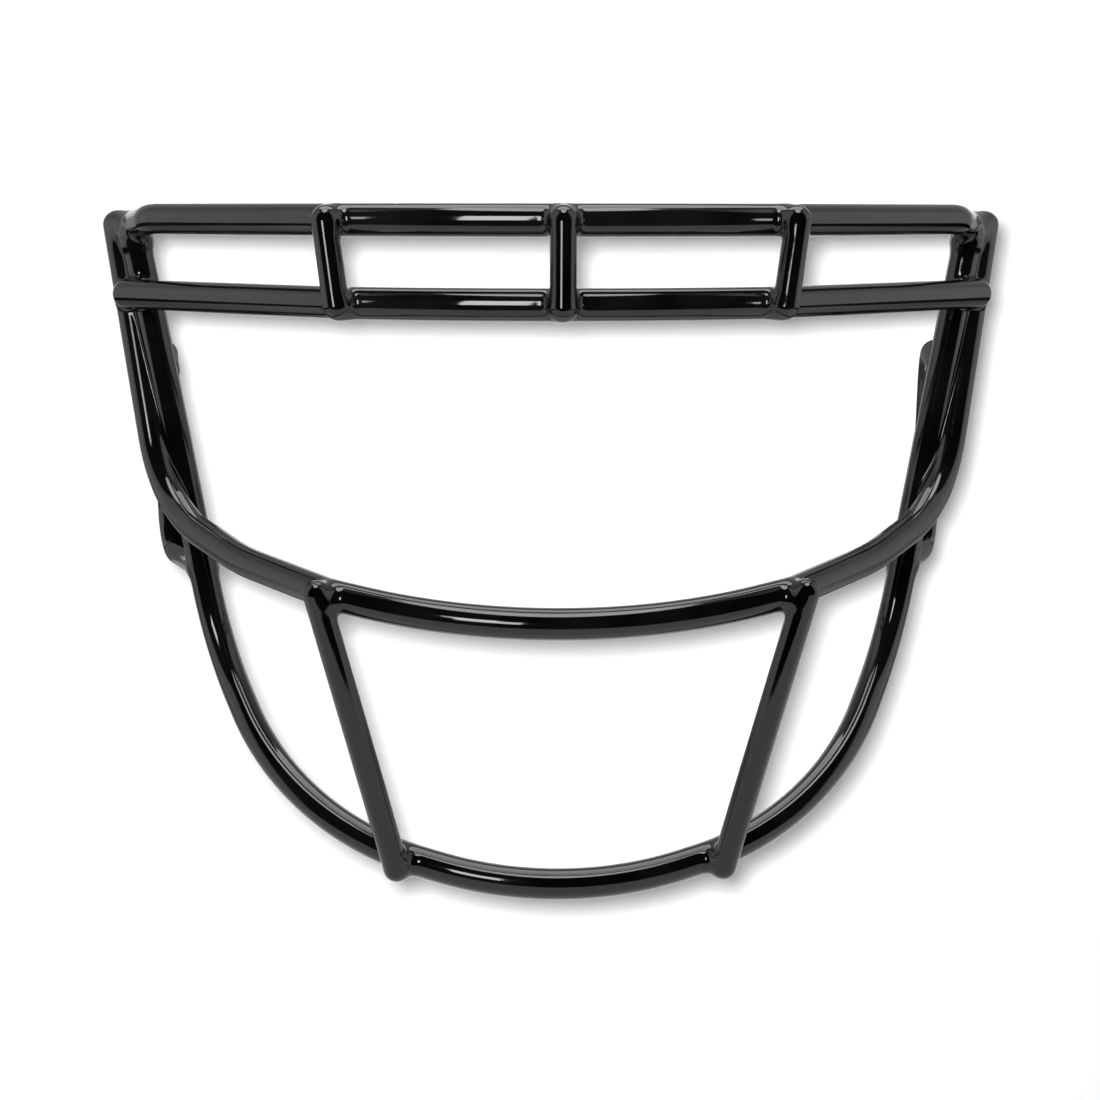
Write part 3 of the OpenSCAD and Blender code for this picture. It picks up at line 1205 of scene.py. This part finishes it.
@dataclass
class TableReflectionCard:
    """A glowing card just under the guard that only the gloss shows: a painted reflection of a white table."""

    height: float = -168.0
    half_width: float = 350.0
    front: float = -225.0
    rear: float = 420.0
    near_glow: float = 1.0
    far_glow: float = 0.40
    fade: Span = (20.0, 120.0)

    def card(self) -> None:
        """Makes the card."""
        place = Matrix.Translation(Vector((0.0, (self.front + self.rear) / 2, self.height)) * MM)
        gloss_card("table_reflection_card", 2 * self.half_width, self.rear - self.front, place, self._face())

    def _face(self) -> bpy.types.Material:
        """Makes the card's glow, a painted reflection of the table that is dimmer to the rear.

        Returns:
            The material.
        """
        made = bpy.data.materials.new("table_reflection_glow")
        t = Tree(made)
        depth = t.value(t.add("ShaderNodeSeparateXYZ", {}, {0: t.place()}), "Y")
        shade = depth.ramp(*(end * MM for end in self.fade))
        # painted reflection: the glow stands in for a lit table, dimmer to the rear
        t.glow(t.blend(shade, grey(self.near_glow), grey(self.far_glow)))
        return made


@dataclass(frozen=True)
class Flag:
    """A dimly glowing card by each side loop that only the gloss shows: a painted dark reflection, which keeps
    the tent's light out of the loop's gloss.
    """

    name: str
    middle: Point
    wide: float
    deep: float
    tilt: float
    glow: float

    def cards(self) -> None:
        """Makes the card on both sides."""
        face = self._face()
        turned = Matrix.Rotation(math.radians(self.tilt), 4, "X")
        for side in Side:
            place = Matrix.Translation(Vector(side.place(self.middle)) * MM) @ turned
            gloss_card(side.name_of(self.name), self.wide, self.deep, place, face)

    def _face(self) -> bpy.types.Material:
        """Makes the card's dim glow, which paints the dark reflection.

        Returns:
            The material.
        """
        made = bpy.data.materials.new(self.name)
        Tree(made).glow(grey(self.glow))
        return made


# painted dark reflections: dimly glowing cards that only the side loops' gloss shows
FLAGS = (
    Flag("rear_dark_reflection", (106.0, 114.0, -72.0), wide=44.0, deep=84.0, tilt=90.0, glow=0.16),
    Flag("elbow_dark_reflection", (116.0, 104.0, -90.0), wide=40.0, deep=50.0, tilt=0.0, glow=0.02),
)


@dataclass
class Backdrop:
    """A pale sheet behind the guard that curves forward into the floor."""

    half_width: float = 520.0
    front: float = -100.0
    rear: float = 750.0
    floor: float = -650.0
    top: float = 130.0
    cove: float = 250.0
    cove_faces: int = 24
    paper: float = 0.8

    def sheet(self) -> bpy.types.Object:
        """Makes the sheet.

        Returns:
            The sheet.
        """
        bm = bmesh.new()
        corner = Vector((-self.half_width, self.front, self.floor)) * MM
        tip = bmesh.ops.create_vert(bm, co=corner)["vert"][0]
        for vec in ((0.0, self.rear - self.front, 0.0), (0.0, 0.0, self.top - self.floor)):
            tip = bmesh.ops.extrude_vert_indiv(bm, verts=[tip])["verts"][0]
            bmesh.ops.translate(bm, verts=[tip], vec=Vector(vec) * MM)
        swept = bmesh.ops.extrude_edge_only(bm, edges=bm.edges[:])["geom"]
        moved = [g for g in swept if isinstance(g, bmesh.types.BMVert)]
        bmesh.ops.translate(bm, verts=moved, vec=(2 * self.half_width * MM, 0.0, 0.0))
        line = Vector((self.rear, self.floor)) * MM
        fold = [e for e in bm.edges if all((v.co.yz - line).length < TINY for v in e.verts)]
        bmesh.ops.bevel(
            bm, geom=fold, offset=self.cove * MM, offset_type="OFFSET", segments=self.cove_faces,
            profile=0.5, affect="EDGES", material=-1,
        )
        mesh = bpy.data.meshes.new("paper_sweep")
        bm.to_mesh(mesh)
        bm.free()
        mesh.shade_smooth()
        mesh.materials.append(self._paper())
        made = bpy.data.objects.new("paper_sweep", mesh)
        bpy.context.scene.collection.objects.link(made)
        return made

    def _paper(self) -> bpy.types.Material:
        """Makes the pale paper.

        Returns:
            The material.
        """
        made = bpy.data.materials.new("pale_paper")
        t = Tree(made)
        t.surface(t.add("ShaderNodeBsdfDiffuse", {}, {"Color": grey(self.paper)}).outputs[0])
        return made


@dataclass
class Studio:
    """The camera, the lamps and the sheet."""

    aim: Point = (-2.65, 0.0, -77.2)
    distance: float = 479.4
    elevation: float = 15.0
    azimuth: float = -1.58
    roll: float = 0.2
    focal_px: float = 2033.0
    frame_px: float = 1100.0
    sensor: float = 36.0
    clip: Span = (0.01, 20.0)
    lamp_left: float = 3.8
    lamp_up: float = 4.6
    lamp_size: float = 11.0
    lamp_power: float = 18.0

    def camera(self) -> bpy.types.Object:
        """Makes the camera at the photograph's place.

        Returns:
            The camera.
        """
        data = bpy.data.cameras.new("camera")
        data.sensor_width = self.sensor
        data.lens = self.sensor * self.focal_px / self.frame_px
        data.clip_start, data.clip_end = self.clip
        made = bpy.data.objects.new("camera", data)
        a, e = math.radians(self.azimuth), math.radians(self.elevation)
        back = Vector((math.sin(a) * math.cos(e), -math.cos(a) * math.cos(e), math.sin(e)))
        turned = (-back).to_track_quat("-Z", "Y").to_matrix().to_4x4()
        rolled = Matrix.Rotation(math.radians(self.roll), 4, "Z")
        made.matrix_world = Matrix.Translation((Vector(self.aim) + back * self.distance) * MM) @ turned @ rolled
        bpy.context.scene.collection.objects.link(made)
        bpy.context.scene.camera = made
        return made

    def shadow_lamp(self, camera: bpy.types.Object, sheet: bpy.types.Object) -> None:
        """Makes the lamp that draws the guard's shadow on the sheet.

        Args:
            camera: The camera, beside which it stands.
            sheet: The sheet, all that it lights.
        """
        beam = bpy.data.lights.new("shadow_lamp", "AREA")
        beam.shape, beam.size, beam.energy = "DISK", self.lamp_size * MM, self.lamp_power
        lamp = bpy.data.objects.new("shadow_lamp", beam)
        shift = Vector((-self.lamp_left, self.lamp_up, 0.0)) * MM
        lamp.matrix_world = camera.matrix_world @ Matrix.Translation(shift)
        lamp.visible_camera = lamp.visible_glossy = False
        light_only(lamp, [sheet])

    def set_up(self, pieces: dict[str, bpy.types.Object]) -> None:
        """Sets up the whole studio.

        Args:
            pieces: The bars' skins by name.
        """
        scene = bpy.context.scene
        scene.view_settings.view_transform = "Standard"
        scene.world = Tent().world()
        camera = self.camera()
        self.shadow_lamp(camera, Backdrop().sheet())
        TableReflectionCard().card()
        for flag in FLAGS:
            flag.cards()
        for box in SOFT_BOXES:
            box.lamp(pieces)
        log.info("studio: camera, %d soft boxes, shadow lamp, paper, cards, tent", len(SOFT_BOXES))


def dress_hidden(nodes: dict[str, bpy.types.Object]) -> None:
    """Gives the steel wires and the welds, which the coats hide, their own finishes.

    Args:
        nodes: The CAD nodes by name.
    """
    wire, flash = DrawnSteel().material(), WeldFlash().material()
    for name, node in sorted(nodes.items()):
        finish = wire if name.endswith("_core") else flash if name.endswith("_welds") else None
        if finish is None:
            continue
        if not node.material_slots:
            node.data.materials.append(finish)
        for held in node.material_slots:
            held.material = finish
        log.info("%s: %s", name, finish.name)


def main() -> None:
    """Builds the guard's coats, dresses what they hide and sets up the studio."""
    brow = BrowBars()
    groups = [brow, Ties(brow), LowerBars(), ChinBars(), SideLoops()]
    bars = [bar for group in groups for bar in group.bars()]
    beads = [bead for group in groups[1:] for bead in group.beads()]
    maker = SkinMaker(Dip(bars, beads), FULL)
    coat = BlackDip().material()
    pieces = {bar.name: maker.skin(bar, coat) for bar in bars}
    dress_hidden(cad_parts)
    Studio().set_up(pieces)


if __name__ == "__main__":
    main()
